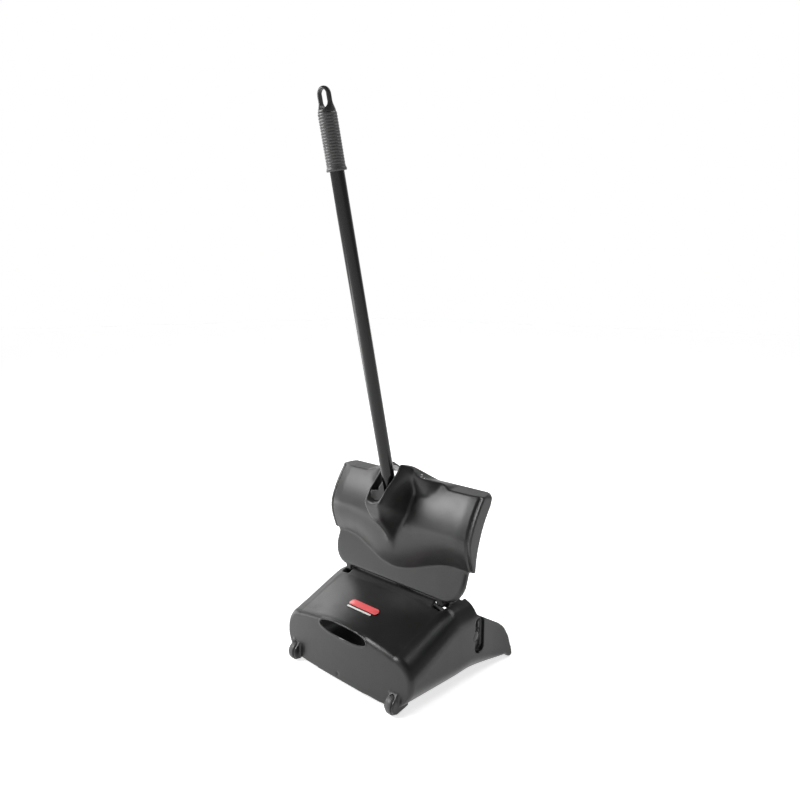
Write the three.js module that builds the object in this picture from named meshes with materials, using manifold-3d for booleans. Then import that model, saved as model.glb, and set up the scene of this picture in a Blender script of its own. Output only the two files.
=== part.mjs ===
// Long-handled lobby dust pan with a self-closing cover.
//
// Working frame, in millimetres: X runs across the pan, Y rearwards from the
// front lip, Z up from the floor. The last lines move the whole group so that
// its origin is the middle of its bounding box, at floor level.

import * as THREE from 'three';
import { mergeVertices } from 'three/addons/utils/BufferGeometryUtils.js';
import Module from 'manifold-3d';

const wasm = await Module();
wasm.setup();

// ---------------------------------------------------------------- dimensions

const WALL = 3;                  // moulded wall of the pan and the cover
const GAP = 0.3;                 // play between pieces that touch

const PAN_LENGTH = 273;          // lip to the back of the rear panel
const PAN_HALF = 150;            // half width of the body
const LIP_FLARE = 5;             // extra half width at the front lip
const ROOF_REAR = 88;            // height of the roof's edge at the rear
const ROOF_FRONT = 133;          // and in front of the hinge line
const ROOF_BREAK_Y = 147;        // where the sloping roof levels out
const HOOD_FRONT_Y = 97;         // front edge of the roof's shoulders
const REAR_ROUND = 9;            // rounding between rear panel and sides
const REAR_BOW = 5;              // how far the rear panel bulges in plan
const REAR_LEAN = 5;             // how far its top leans forward
const RUNNER = 7;                // height of the floor's underside
const LIP_THICKNESS = 1.4;
const ROOF_LIP = 138.8;          // height of the roof's turned-up front edge

const MOUTH_HALF = 121;          // cut-out in the roof for the handle's yoke
const MOUTH_REAR_Y = 143;
const LUG_NOTCH_REAR_Y = 158;    // relief behind each cover lug

const GRIP_SLOT = { half: 55, height: 20, z: 90.5 };

const WHEEL = { x: 118, y: 268, radius: 15.5, width: 10 };
const AXLE_RADIUS = 2.5;
const AXLE_HALF = 8.4;           // the axle's ends are hidden in blind holes
const CHEEK_RADIUS = 13;

const COVER_FOOT = { y: 146.8, z: 134.3 };       // foot of the cover's plane
const COVER_LEAN = THREE.MathUtils.degToRad(18.4);
const COVER_HINGE = { y: 124, z: 140.35, radius: 3 };
const COVER_HALF = 165;
const FLANGE_HALF = 152;
const FLANGE_FACE = 9;           // depth of the flange below the shell
const SKIRT_FOOT = 66;           // where the wide part of the cover starts
const COVER_TOP = 197.5;
const NOSE_TOP = 214;
const BULGE = 40;                // depth of the shell over the wings
const COVER_EDGE = 6;            // lower edge of the flange, up the cover's plane
const NOSE_SLOT = { half: 15.5, middle: 157.5, lining: 18 };
const LUG = { inner: 103, outer: 115.5 };

const PIVOT = { y: 100, z: 74 };                 // handle's axis in the pan
const HANDLE_LEAN = THREE.MathUtils.degToRad(13);
const PIVOT_RADIUS = 4;
const YOKE_HALF = 137.4;
const TUBE_RADIUS = 11.1;
const TUBE_BORE = 9.9;
const TUBE_FOOT = 46.5;
const TUBE_TOP = 842;
const SOCKET_RADIUS = 16;
const SOCKET_TOP = 100;
const BOLT_AT = 86;
const GRIP_FOOT = 763;
const GRIP_TOP = 843.5;
const GRIP_RADIUS = 14.2;
const CAP_TOP = 879;
const CAP_TURN = 10;             // degrees the cap is turned on the handle

// ----------------------------------------------------------------- materials

function plastic(color, roughness) {
  return new THREE.MeshStandardMaterial({ color, roughness, metalness: 0 });
}

const CHARCOAL = plastic(0x232427, 0.5);
const COVER_BLACK = plastic(0x2b2c2f, 0.5);
const WHEEL_GREY = plastic(0x3a3b3d, 0.55);
const GRIP_GREY = plastic(0x3d3e42, 0.7);
const CAP_BLACK = plastic(0x1b1c1e, 0.4);
const BADGE_RED = plastic(0xb3262d, 0.4);
const BADGE_PALE = plastic(0xd9d9d6, 0.45);
const TUBE_BLACK = new THREE.MeshStandardMaterial({ color: 0x121315, roughness: 0.25, metalness: 0.3 });
const STEEL = new THREE.MeshStandardMaterial({ color: 0x9a9c9f, roughness: 0.35, metalness: 1 });

// ------------------------------------------------------------- small helpers

function clamp01(value) {
  return Math.min(1, Math.max(0, value));
}

function smoothstep(low, high, value) {
  const t = clamp01((value - low) / (high - low));
  return t * t * (3 - 2 * t);
}

function mix(a, b, t) {
  return a + (b - a) * t;
}

// Turns a closed three.js geometry into a solid that can be joined and cut.
function solid(geometry) {
  const bare = geometry.clone();
  bare.deleteAttribute('normal');
  bare.deleteAttribute('uv');
  const merged = mergeVertices(bare, 1e-4);
  const vertProperties = new Float32Array(merged.getAttribute('position').array);
  const triVerts = new Uint32Array(merged.getIndex().array);
  return new wasm.Manifold(new wasm.Mesh({ numProp: 3, vertProperties, triVerts }));
}

function join(solids) {
  return solids.reduce((sum, next) => sum.add(next));
}

function cut(body, solids) {
  return solids.reduce((rest, next) => rest.subtract(next), body);
}

// Makes the named mesh of a finished solid.
function piece(name, body, material) {
  const { vertProperties, triVerts } = body.getMesh();
  const geometry = new THREE.BufferGeometry();
  geometry.setAttribute('position', new THREE.BufferAttribute(new Float32Array(vertProperties), 3));
  geometry.setIndex(new THREE.BufferAttribute(new Uint32Array(triVerts), 1));
  geometry.computeVertexNormals();
  const mesh = new THREE.Mesh(geometry, material);
  mesh.name = name;
  return mesh;
}

// Box between two corners.
function box(x0, x1, y0, y1, z0, z1) {
  const geometry = new THREE.BoxGeometry(x1 - x0, y1 - y0, z1 - z0);
  geometry.translate((x0 + x1) / 2, (y0 + y1) / 2, (z0 + z1) / 2);
  return solid(geometry);
}

// Cylinder along X between x0 and x1.
function rodX(radius, x0, x1, y, z, sides = 20) {
  const geometry = new THREE.CylinderGeometry(radius, radius, x1 - x0, sides);
  geometry.rotateZ(Math.PI / 2);
  geometry.translate((x0 + x1) / 2, y, z);
  return solid(geometry);
}

// Cylinder along Z between z0 and z1, on the local Z axis.
function rodZ(radius, z0, z1, sides = 28) {
  const geometry = new THREE.CylinderGeometry(radius, radius, z1 - z0, sides);
  geometry.rotateX(Math.PI / 2);
  geometry.translate(0, 0, (z0 + z1) / 2);
  return solid(geometry);
}

// Outline in the (y, z) plane, extruded along X from x0 to x1.
function slabYZ(shape, x0, x1) {
  const geometry = new THREE.ExtrudeGeometry(shape, { depth: x1 - x0, bevelEnabled: false, curveSegments: 6 });
  geometry.rotateX(Math.PI / 2);
  geometry.rotateZ(Math.PI / 2);
  geometry.translate(x0, 0, 0);
  return solid(geometry);
}

// Outline in the (x, z) plane, extruded along Y from y0 to y1.
function slabXZ(shape, y0, y1) {
  const geometry = new THREE.ExtrudeGeometry(shape, { depth: y1 - y0, bevelEnabled: false, curveSegments: 6 });
  geometry.rotateX(Math.PI / 2);
  geometry.translate(0, y1, 0);
  return solid(geometry);
}

// Outline in the (x, y) plane, extruded along Z from z0 to z1.
function slabXY(shape, z0, z1) {
  const geometry = new THREE.ExtrudeGeometry(shape, { depth: z1 - z0, bevelEnabled: false, curveSegments: 4 });
  geometry.translate(0, 0, z0);
  return solid(geometry);
}

function polygon(points) {
  return new THREE.Shape(points.map(([u, v]) => new THREE.Vector2(u, v)));
}

// Rectangle with round corners, centred on (u, v).
function roundedRect(u, v, width, height, radius) {
  const shape = new THREE.Shape();
  const right = u + width / 2 - radius;
  const left = u - width / 2 + radius;
  const top = v + height / 2 - radius;
  const bottom = v - height / 2 + radius;
  shape.absarc(right, bottom, radius, -Math.PI / 2, 0);
  shape.absarc(right, top, radius, 0, Math.PI / 2);
  shape.absarc(left, top, radius, Math.PI / 2, Math.PI);
  shape.absarc(left, bottom, radius, Math.PI, Math.PI * 1.5);
  return shape;
}

function lathe(points, segments = 24) {
  const geometry = new THREE.LatheGeometry(points.map(([r, h]) => new THREE.Vector2(r, h)), segments);
  geometry.rotateX(Math.PI / 2);
  return solid(geometry);
}

// Closed skin through rings of equal length, with a flat cap at each end.
function loft(rings) {
  const count = rings[0].length;
  const positions = rings.flat().flatMap((p) => [p.x, p.y, p.z]);
  const index = [];
  for (let r = 0; r + 1 < rings.length; r += 1) {
    for (let i = 0; i < count; i += 1) {
      const a = r * count + i;
      const b = r * count + ((i + 1) % count);
      index.push(a, a + count, b, b, a + count, b + count);
    }
  }
  for (const [first, flip] of [[0, false], [(rings.length - 1) * count, true]]) {
    const ring = positions.slice(first * 3, (first + count) * 3);
    const centre = positions.length / 3;
    for (let axis = 0; axis < 3; axis += 1) {
      const values = ring.filter((_, i) => i % 3 === axis);
      positions.push(values.reduce((a, b) => a + b) / count);
    }
    for (let i = 0; i < count; i += 1) {
      const a = first + i;
      const b = first + ((i + 1) % count);
      index.push(...(flip ? [centre, b, a] : [centre, a, b]));
    }
  }
  const geometry = new THREE.BufferGeometry();
  geometry.setAttribute('position', new THREE.Float32BufferAttribute(positions, 3));
  geometry.setIndex(index);
  return solid(geometry);
}

// ------------------------------------------------------------------ pan body

// Progress from the rear panel (0) to the level part of the roof (1).
function forwardness(y) {
  return clamp01((PAN_LENGTH - y) / (PAN_LENGTH - ROOF_BREAK_Y));
}

function floorLevel(y) {
  return RUNNER * smoothstep(2, 16, y);
}

// Cross-section of the body at one y, shrunk all round by inset.
function panRing(y, inset, floorInset) {
  const lipward = clamp01(1 - y / 60);
  const half = PAN_HALF + LIP_FLARE * lipward * lipward - inset;
  const low = floorLevel(y) + floorInset;
  const roof = mix(ROOF_REAR, ROOF_FRONT, forwardness(y)) - inset;
  const crown = mix(15, 3, forwardness(y));
  const upper = mix(38, 36, forwardness(y)) - inset;
  const lower = mix(6, mix(50, 42, forwardness(y)), smoothstep(0, 120, y)) - inset;
  const belly = mix(6, mix(44, 34, forwardness(y)), smoothstep(0, 120, y)) - inset;
  const outline = [];
  const arc = (x, z, across, up, from, to, steps) => {
    for (let i = 0; i <= steps; i += 1) {
      const angle = THREE.MathUtils.degToRad(mix(from, to, i / steps));
      outline.push([x + across * Math.cos(angle), z + up * Math.sin(angle)]);
    }
  };
  const flat = half - upper;
  arc(half - lower, low + belly, lower, belly, -90, 0, 6);
  arc(flat, roof - upper, upper, upper, 0, 90, 6);
  for (let i = 1; i < 8; i += 1) {
    const x = mix(flat, -flat, i / 8);
    outline.push([x, roof + crown * (1 - (x / flat) ** 2)]);
  }
  arc(-flat, roof - upper, upper, upper, 90, 180, 6);
  arc(lower - half, low + belly, lower, belly, 180, 270, 6);
  const rearness = smoothstep(150, PAN_LENGTH, y);
  const lipness = 1 - smoothstep(148, 164, y);
  return outline.map(([x, z]) => {
    const bow = REAR_BOW * (x / 130) ** 2 + REAR_LEAN * (z / 100);
    const lift = z > 100 ? (ROOF_LIP - ROOF_FRONT - crown * (1 - (x / flat) ** 2)) : 0;
    const between = 1 - smoothstep(98, 117, Math.abs(x));
    return new THREE.Vector3(x, y - bow * rearness, z + lift * lipness * between);
  });
}

// Outer or inner skin of the body; the inner one runs out through the mouth.
function panSkin(inset, frontY) {
  const rings = [];
  const rearY = PAN_LENGTH - inset;
  const rounding = REAR_ROUND - inset;
  const floorInset = (y) => inset * mix(LIP_THICKNESS / WALL, 1, smoothstep(0, 30, y));
  for (const y of [frontY, 0, 3, 6, 10, 16, 32, 60, 85, 110, ROOF_BREAK_Y, 152, 158, 164, 190, 235]) {
    if (y >= frontY) rings.push(panRing(y, inset, floorInset(y)));
  }
  for (let i = 0; i <= 4; i += 1) {
    const angle = (i / 4) * Math.PI / 2;
    const y = rearY - rounding + rounding * Math.sin(angle);
    const shrink = rounding * (1 - Math.cos(angle));
    rings.push(panRing(y, inset + shrink, floorInset(y) + 0.08 * shrink));
  }
  return loft(frontY < 0 ? rings : rings.slice(1));
}

// Everything above the wings' top edges, in front of the hood.
function wingCutter() {
  const shape = polygon([[HOOD_FRONT_Y, 220], [HOOD_FRONT_Y, 111], [39, 77], [27, 68], [17, 56],
    [9, 40], [3, 22], [-1, 6], [-40, 6], [-40, 220]]);
  return slabYZ(shape, -220, 220);
}

// The roof's cut-out for the yoke, with a relief notch behind each cover lug.
function mouthCutter() {
  const depth = MOUTH_REAR_Y + 60;
  const opening = slabXY(roundedRect(0, MOUTH_REAR_Y - depth / 2, MOUTH_HALF * 2, depth, 10), 104, 220);
  const notches = [-1, 1].map((side) => {
    const middle = side * (LUG.inner + LUG.outer) / 2;
    const width = LUG.outer - LUG.inner + 8;
    return slabXY(roundedRect(middle, LUG_NOTCH_REAR_Y - 20, width, 40, 5), 104, 220);
  });
  return join([opening, ...notches]);
}

// One ear beside each cover lug, carrying the hinge pin.
function hingeEar(side) {
  const { y, z, radius } = COVER_HINGE;
  const shape = new THREE.Shape();
  shape.moveTo(y - 18, z - 16);
  shape.lineTo(y + 18, z - 16);
  shape.lineTo(y + 18, z - 10);
  shape.absarc(y, z, 8.5, Math.PI * 0.12, Math.PI * 0.88);
  shape.lineTo(y - 18, z - 10);
  const inner = LUG.outer + GAP;
  const web = slabYZ(shape, side > 0 ? inner : -inner - 4.5, side > 0 ? inner + 4.5 : -inner);
  return { web, bore: rodX(radius + GAP, side > 0 ? inner - 5 : -inner - 9, side > 0 ? inner + 9 : -inner + 5, y, z) };
}

// Thickening around the yoke pivot, its outside pocket and the pivot's bore.
function pivotSeat(side) {
  const span = (near, far) => (side > 0 ? [near, far] : [-far, -near]);
  const block = slabYZ(roundedRect(PIVOT.y - 8, PIVOT.z - 1, 40, 76, 10), ...span(YOKE_HALF + GAP, 149));
  const pocket = slabYZ(roundedRect(PIVOT.y - 8, PIVOT.z, 24, 62, 11), ...span(142.5, 170));
  const bore = rodX(PIVOT_RADIUS + GAP, ...span(120, 160), PIVOT.y, PIVOT.z);
  const headRoom = rodX(10, ...span(142.5, 160), PIVOT.y, PIVOT.z);
  return { block, cutters: [pocket, bore, headRoom] };
}

// Housing in a rear corner: two cheeks hold the axle, the well is open below.
function wheelHousing(side) {
  const { x, y, radius, width } = WHEEL;
  const inner = width / 2 + 0.8;
  const outer = inner + 3.4;
  const at = side * x;
  const well = new THREE.Shape();
  well.moveTo(y - radius - 3, -5);
  well.lineTo(y - radius - 3, radius);
  well.absarc(y, radius, radius + 3, Math.PI, 0, true);
  well.lineTo(y + radius + 3, -5);
  const cheekShape = new THREE.Shape();
  cheekShape.moveTo(y - radius - 6, floorLevel(y));
  cheekShape.lineTo(y - radius - 6, 30);
  cheekShape.lineTo(y - 4, 40);
  cheekShape.absarc(y, radius, CHEEK_RADIUS, Math.PI / 3, -Math.PI / 2, true);
  const cheeks = slabYZ(cheekShape, at - outer, at + outer);
  const lining = slabYZ(roundedRect(y - 8, 20, 28 + 2 * WALL, 40, 8), at - outer, at + outer);
  const arch = slabXZ(roundedRect(at, 0, 2 * inner, 2 * (2 * radius + 2), inner - 1), y - 40, y + 40);
  const space = slabYZ(well, at - inner, at + inner).intersect(arch);
  const bore = rodX(AXLE_RADIUS + GAP, at - AXLE_HALF - GAP, at + AXLE_HALF + GAP, y, radius);
  return { cheeks, lining, cutters: [space, bore] };
}

function panBody() {
  const outer = panSkin(0, 0);
  const seats = [-1, 1].map(pivotSeat);
  const ears = [-1, 1].map(hingeEar);
  const housings = [-1, 1].map(wheelHousing);
  const shell = cut(outer, [panSkin(WALL, -30)]);
  const inside = housings.map(({ lining }) => lining.intersect(outer));
  const blocks = seats.map(({ block }) => block.intersect(outer));
  const opened = cut(join([shell, ...inside, ...blocks]), [wingCutter(), mouthCutter()]);
  const gripSlot = slabXZ(roundedRect(0, GRIP_SLOT.z, GRIP_SLOT.half * 2, GRIP_SLOT.height, 9.9), 240, 290);
  const joined = join([opened, ...ears.map(({ web }) => web), ...housings.map(({ cheeks }) => cheeks)]);
  const cutters = [
    gripSlot,
    ...seats.flatMap(({ cutters: list }) => list),
    ...ears.map(({ bore }) => bore),
    ...housings.flatMap(({ cutters: list }) => list),
  ];
  return cut(joined, cutters);
}

// Thin plate that follows the roof, between two heights above it.
function roofPlate(shape) {
  const upper = panSkin(-GAP - 1.2, 0);
  const lower = panSkin(-GAP, 0);
  return slabXY(shape, 90, 150).intersect(upper).subtract(lower);
}

// -------------------------------------------------------------------- cover
//
// The cover is drawn in its own plane: X across, Y (depth) towards the rear
// and Z up the cover, from the foot of its plane. It is a lid, hollow on the
// front: a flange at the foot, a saddle that bulges over the pan's wings when
// closed, and a nose with an open slot that the handle runs through.

// Depth of the nose's ridge, from the top of the flange to the top edge.
const RIDGE = [[60, 23], [80, 34], [88, 44], [97, 58], [112, 84], [136, 103], [150, 102], [167, 93], [192, 77],
  [216, 70]];

function ridgeDepth(s) {
  const last = RIDGE.length - 1;
  if (s <= RIDGE[0][0]) return RIDGE[0][1];
  const next = RIDGE.findIndex(([at]) => at >= s);
  if (next < 0) return RIDGE[last][1];
  const [s0, n0] = RIDGE[next - 1];
  const [s1, n1] = RIDGE[next];
  return mix(n0, n1, smoothstep(0, 1, (s - s0) / (s1 - s0)) * 0.4 + 0.6 * (s - s0) / (s1 - s0));
}

// Outer depth of the cover at a point of its plane.
function coverDepth(x, s) {
  const across = Math.abs(x);
  const smile = 34 + 16 * (1 - Math.cos(Math.PI * Math.min(across, 130) / 130));
  const rise = clamp01((s - smile) / (120 - smile));
  const bulge = BULGE - 3 * smoothstep(135, 165, across);
  let depth = FLANGE_FACE + (bulge - FLANGE_FACE) * Math.sin(rise * Math.PI / 2);
  if (s > 120) depth = bulge - 11 * ((s - 120) / 63) ** 2;
  depth += 34 * smoothstep(160, 204, s) * (1 - smoothstep(38, 80, across));
  const ridgeHalf = mix(2, 19, smoothstep(80, 136, s));
  const footHalf = mix(10, 30, smoothstep(80, 136, s)) + 4 * smoothstep(150, 195, s);
  const nose = 1 - smoothstep(ridgeHalf, footHalf, across);
  const ridge = Math.max(depth, ridgeDepth(s));
  depth = mix(depth, ridge, nose * smoothstep(56, 84, s));
  const steepness = mix(2.3, 14, 1 - smoothstep(44, 98, across));
  return Math.min(depth, Math.max(0.5, (coverTopEdge(x) + 0.6 - s) * steepness));
}

function coverTopEdge(x) {
  return mix(COVER_TOP, NOSE_TOP, 1 - smoothstep(28, 52, Math.abs(x)));
}

// Solid between a base plane and the cover's outer (or inner) surface.
function coverBlock(base, thickness) {
  const columns = 36;
  const rows = 28;
  const positions = [];
  const index = [];
  const step = 0.5;
  for (const top of [false, true]) {
    for (let j = 0; j <= rows; j += 1) {
      for (let i = 0; i <= columns; i += 1) {
        const t = 2 * i / columns - 1;
        const x = (COVER_HALF + 4) * (0.42 * t + 0.58 * t ** 3);
        const s = mix(2, NOSE_TOP + 6, j / rows);
        const across = (coverDepth(x + step, s) - coverDepth(x - step, s)) / (2 * step);
        const along = (coverDepth(x, s + step) - coverDepth(x, s - step)) / (2 * step);
        const wall = thickness * Math.min(Math.hypot(1, across, along), 7);
        const depth = Math.max(coverDepth(x, s) - wall, base + 0.2);
        positions.push(x, top ? depth : base, s);
      }
    }
  }
  const row = columns + 1;
  const layer = row * (rows + 1);
  const quad = (a, b, c, d) => index.push(a, b, c, a, c, d);
  for (let j = 0; j < rows; j += 1) {
    for (let i = 0; i < columns; i += 1) {
      const a = j * row + i;
      quad(a, a + 1, a + row + 1, a + row);
      quad(layer + a, layer + a + row, layer + a + row + 1, layer + a + 1);
    }
  }
  for (let i = 0; i < columns; i += 1) {
    const far = rows * row + i;
    quad(i, layer + i, layer + i + 1, i + 1);
    quad(far + 1, layer + far + 1, layer + far, far);
  }
  for (let j = 0; j < rows; j += 1) {
    const near = j * row;
    const far = near + columns;
    quad(near + row, layer + near + row, layer + near, near);
    quad(far, layer + far, layer + far + row, far + row);
  }
  const geometry = new THREE.BufferGeometry();
  geometry.setAttribute('position', new THREE.Float32BufferAttribute(positions, 3));
  geometry.setIndex(index);
  return solid(geometry);
}

// Outline of the cover in its plane, shrunk by inset.
function coverOutline(inset) {
  const half = COVER_HALF - inset;
  const flange = FLANGE_HALF - inset;
  const foot = COVER_EDGE + inset;
  const corner = 38;
  const right = [];
  for (let i = 0; i <= 6; i += 1) {
    const angle = (i / 6) * Math.PI / 2;
    right.push([flange - corner + corner * Math.sin(angle), foot + corner * (1 - Math.cos(angle))]);
  }
  right.push([flange, SKIRT_FOOT + inset], [half, SKIRT_FOOT + inset]);
  for (let i = 0; i <= 4; i += 1) {
    const angle = (i / 4) * Math.PI / 2;
    right.push([half - 12 + 12 * Math.cos(angle), COVER_TOP - inset - 12 + 12 * Math.sin(angle)]);
  }
  for (const x of [60, 52, 46, 40, 34, 28, 14]) {
    right.push([x, coverTopEdge(x) - inset]);
  }
  const left = right.map(([x, s]) => [-x, s]).reverse();
  return polygon([...right, ...left]);
}

// What lies above the sloping roof of the nose, lowered by inset.
function noseRoofCutter(inset) {
  const shape = polygon([[-20, COVER_TOP - 5 - inset], [62, NOSE_TOP - inset], [62, 260], [-20, 260]]);
  return slabYZ(shape, -200, 200);
}

// The slot in the nose: a U, open at the top, that the handle runs through.
function noseSlot() {
  const { half, middle } = NOSE_SLOT;
  const shape = new THREE.Shape();
  shape.moveTo(half, 260);
  shape.lineTo(-half, 260);
  shape.lineTo(-half, middle);
  shape.absarc(0, middle, half, Math.PI, Math.PI * 2);
  return slabXZ(shape, 28, 200);
}

// Lug that carries the cover on its hinge pin, in the cover's own plane.
function coverLug(side) {
  const toPlane = (y, z) => {
    const dy = y - COVER_FOOT.y;
    const dz = z - COVER_FOOT.z;
    const c = Math.cos(COVER_LEAN);
    const s = Math.sin(COVER_LEAN);
    return [dy * c + dz * s, dz * c - dy * s];
  };
  const { y, z, radius } = COVER_HINGE;
  const eye = [];
  for (let i = 0; i <= 10; i += 1) {
    const angle = THREE.MathUtils.degToRad(mix(100, 280, i / 10));
    eye.push([y + 7.5 * Math.cos(angle), z + 7.5 * Math.sin(angle)]);
  }
  const outline = [...eye, [141, 130.5], [149, 130.5], [151.5, 134], [152, 145.5], [148, 150], [142, 149]];
  const shape = polygon(outline.map(([py, pz]) => toPlane(py, pz)));
  const [x0, x1] = side > 0 ? [LUG.inner, LUG.outer] : [-LUG.outer, -LUG.inner];
  const bore = rodX(radius + GAP, x0 - 5, x1 + 5, ...toPlane(y, z));
  return { plate: slabYZ(shape, x0, x1), bore };
}

// The free edge of the cover's ends is hollowed out in a shallow curve.
function endCutter(side) {
  const edge = [];
  for (let i = 0; i <= 8; i += 1) {
    const s = mix(SKIRT_FOOT - 1, 176, i / 8);
    edge.push([9.6 - 0.0028 * (s - 118) ** 2, s]);
  }
  const shape = polygon([[-20, SKIRT_FOOT - 1], ...edge, [-20, 176]]);
  return slabYZ(shape, side > 0 ? FLANGE_HALF + 2 : -200, side > 0 ? 200 : -FLANGE_HALF - 2);
}

function coverShell() {
  const frame = (inset) => slabXZ(coverOutline(inset), -5, 140).subtract(noseRoofCutter(inset));
  const outer = coverBlock(0, 0).intersect(frame(0));
  const hollow = coverBlock(-2, WALL).intersect(frame(WALL));
  const edge = NOSE_SLOT.half + WALL;
  const sides = box(-edge, edge, 28, 200, NOSE_SLOT.middle, 260);
  const lining = sides.intersect(outer).subtract(outer.translate([0, -NOSE_SLOT.lining, 0]));
  const lugs = [-1, 1].map(coverLug);
  const plates = lugs.map(({ plate }) => plate);
  const bores = lugs.map(({ bore }) => bore);
  const shell = cut(outer, [hollow, ...[-1, 1].map(endCutter)]);
  return cut(join([shell, lining, ...plates]), [noseSlot(), ...bores]);
}

// ----------------------------------------------------- yoke, handle and grip
//
// These are drawn with Z along the handle, from the pivot axis.

function yokeArm() {
  const route = [
    [-132.4, 2], [-132.2, 13], [-122, 29], [-98, 44], [-62, 50], [0, 51],
    [62, 50], [98, 44], [122, 29], [132.2, 13], [132.4, 2],
  ];
  const path = new THREE.CatmullRomCurve3(route.map(([x, z]) => new THREE.Vector3(x, 0, z)));
  const section = roundedRect(0, 0, 13, 9.6, 3.5);
  const geometry = new THREE.ExtrudeGeometry(section, {
    steps: 24, bevelEnabled: false, curveSegments: 2, extrudePath: path,
  });
  return solid(geometry);
}

function yoke() {
  const hubs = [-1, 1].map((side) => {
    const [x0, x1] = side > 0 ? [YOKE_HALF - 10, YOKE_HALF] : [-YOKE_HALF, 10 - YOKE_HALF];
    return rodX(13, x0, x1, 0, 0);
  });
  const socket = rodZ(SOCKET_RADIUS, 36, SOCKET_TOP);
  const heel = box(-5, 5, 10, 45, 50, 72);
  const gussets = [-1, 1].map((side) => {
    const shape = polygon([[side * 10, 40], [side * 52, 48], [side * 10, 82]]);
    return slabXZ(shape, -3, 3);
  });
  const body = join([yokeArm(), ...hubs, socket, heel, ...gussets]);
  const bore = rodZ(TUBE_RADIUS + GAP, TUBE_FOOT - GAP, SOCKET_TOP + 5);
  const pivotBore = rodX(PIVOT_RADIUS + GAP, -150, 150, 0, 0);
  const between = box(-118, 118, -20, 20, -20, 20);
  const boltHole = rodX(2.8, -30, 30, 0, BOLT_AT);
  const stop = box(-20, 20, MOUTH_REAR_Y - GAP, 220, 60, 220);
  const placedStop = stop.translate([0, -PIVOT.y, -PIVOT.z]).rotate([THREE.MathUtils.radToDeg(HANDLE_LEAN), 0, 0]);
  return cut(body, [bore, pivotBore.subtract(between), boltHole, placedStop]);
}

// Headed pivot pin, from the pocket in the pan's side into the yoke's eye.
function yokePin(side) {
  const span = (near, far) => (side > 0 ? [near, far] : [-far, -near]);
  const shank = rodX(PIVOT_RADIUS, ...span(YOKE_HALF - 14, 144), 0, 0);
  const head = rodX(8.5, ...span(142.5 + GAP, 147.5), 0, 0);
  return join([shank, head]);
}

// Push-on clip that keeps the pin from backing out of the yoke.
function yokeClip(side) {
  const span = (near, far) => (side > 0 ? [near, far] : [-far, -near]);
  const disc = rodX(9, ...span(YOKE_HALF - 13, YOKE_HALF - 10 - GAP), 0, 0);
  return disc.subtract(rodX(PIVOT_RADIUS + GAP, -200, 200, 0, 0));
}

function handleTube() {
  const tube = rodZ(TUBE_RADIUS, TUBE_FOOT, TUBE_TOP, 32);
  return cut(tube, [rodZ(TUBE_BORE, TUBE_FOOT - 5, TUBE_TOP + 5, 32), rodX(2.8, -30, 30, 0, BOLT_AT)]);
}

function handleBolt() {
  const shank = rodX(2.5, -21.5, 17, 0, BOLT_AT);
  const head = rodX(5, SOCKET_RADIUS + GAP, SOCKET_RADIUS + 3.5, 0, BOLT_AT);
  return join([shank, head]);
}

function handleNut() {
  const nut = rodX(5, -SOCKET_RADIUS - 4.5, -SOCKET_RADIUS - GAP, 0, BOLT_AT, 6);
  return nut.subtract(rodX(2.8, -40, 0, 0, BOLT_AT));
}

// Ribbed sleeve with a flared foot.
function grip() {
  const ribs = 9;
  const foot = GRIP_FOOT;
  const bore = TUBE_RADIUS + GAP;
  const profile = [[bore, foot], [GRIP_RADIUS + 1.2, foot], [GRIP_RADIUS + 1.4, foot + 3], [GRIP_RADIUS, foot + 6]];
  const start = foot + 8;
  const pitch = (GRIP_TOP - 3 - start) / ribs;
  for (let i = 0; i < ribs; i += 1) {
    const z = start + i * pitch;
    profile.push([GRIP_RADIUS - 1, z + 0.2 * pitch], [GRIP_RADIUS, z + 0.45 * pitch], [GRIP_RADIUS, z + 0.9 * pitch]);
  }
  profile.push([GRIP_RADIUS - 0.6, GRIP_TOP], [bore, GRIP_TOP], [bore, foot]);
  return lathe(profile);
}

// Cross-section of the cap at one height: round at its foot, flattened and domed at its top.
function capRing(z) {
  const shoulder = CAP_TOP - 12;
  const up = smoothstep(GRIP_TOP, GRIP_TOP + 15, z);
  const dome = Math.sqrt(1 - clamp01((z - shoulder) / 12.2) ** 2);
  const ring = [];
  for (let i = 0; i < 24; i += 1) {
    const angle = -(i / 24) * Math.PI * 2;
    const x = mix(13.4, 12.2, up) * dome * Math.cos(angle);
    const y = mix(13.4, 5.5, up) * Math.sqrt(dome) * Math.sin(angle);
    ring.push(new THREE.Vector3(x, y, z));
  }
  return ring;
}

// End cap: a spigot in the tube, and a loop to hang the pan by.
function hangCap() {
  const foot = GRIP_TOP + GAP;
  const heights = [foot, foot + 4, foot + 8, foot + 14.7, CAP_TOP - 12, CAP_TOP - 7, CAP_TOP - 3, CAP_TOP - 1, CAP_TOP];
  const loop = loft(heights.map(capRing));
  const spigot = rodZ(TUBE_BORE - GAP, GRIP_TOP - 24, GRIP_TOP + 3);
  const hole = slabXZ(roundedRect(0, GRIP_TOP + 18, 14, 27, 6.9), -20, 20);
  return join([loop, spigot]).subtract(hole).rotate([0, 0, CAP_TURN]);
}

// -------------------------------------------------------------- small pieces

function wheel() {
  const { radius, width } = WHEEL;
  const bore = AXLE_RADIUS + GAP;
  const h = width / 2;
  const profile = [[bore, -h], [5.5, -h], [6.5, 2 - h], [11, 2 - h], [12, -h], [radius - 1, -h], [radius, 1 - h],
    [radius, h - 1], [radius - 1, h], [12, h], [11, h - 2], [6.5, h - 2], [5.5, h], [bore, h], [bore, -h]];
  return lathe(profile, 28).rotate([0, 90, 0]);
}

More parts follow.
